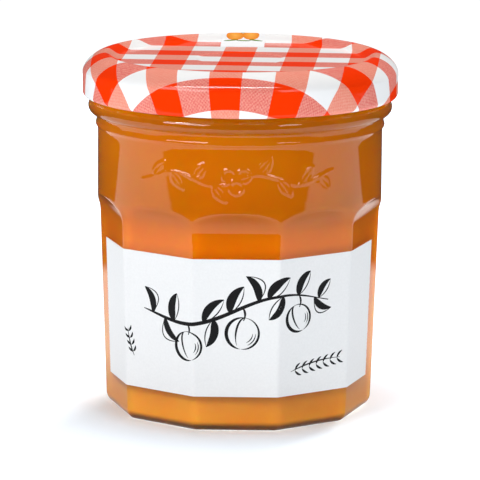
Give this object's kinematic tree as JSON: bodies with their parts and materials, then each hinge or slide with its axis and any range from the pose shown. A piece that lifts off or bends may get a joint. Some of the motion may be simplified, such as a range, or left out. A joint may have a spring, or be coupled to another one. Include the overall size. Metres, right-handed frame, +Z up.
{
  "type": "jam jar",
  "caption": "Filled glass jam jar with a faceted lower body, a round neck and wall, a checked twist-off steel lid, a wrap-round paper label and a paper seal strip.",
  "frame": {"origin": "centre of the base, on the surface that the jar stands on", "axes": "+Z up through the lid, -Y out through the middle of the label, +X to the right as the label is seen"},
  "size_m": [0.085, 0.0856, 0.0975],
  "materials": {
    "jar_glass": "clear soda-lime container glass, gloss",
    "jam": "wet translucent orange fruit jam, stood in for by gloss plastic",
    "lid": "tinplate printed with a red and white check, gloss varnish",
    "label": "white coated label paper with a black line print",
    "seal_strip": "white paper seal with a small fruit print"
  },
  "bodies": {
    "root": {"jar_glass": "jar_glass", "jam": "jam", "lid": "lid", "label": "label", "seal_strip": "seal_strip"}
  },
  "joints": []
}
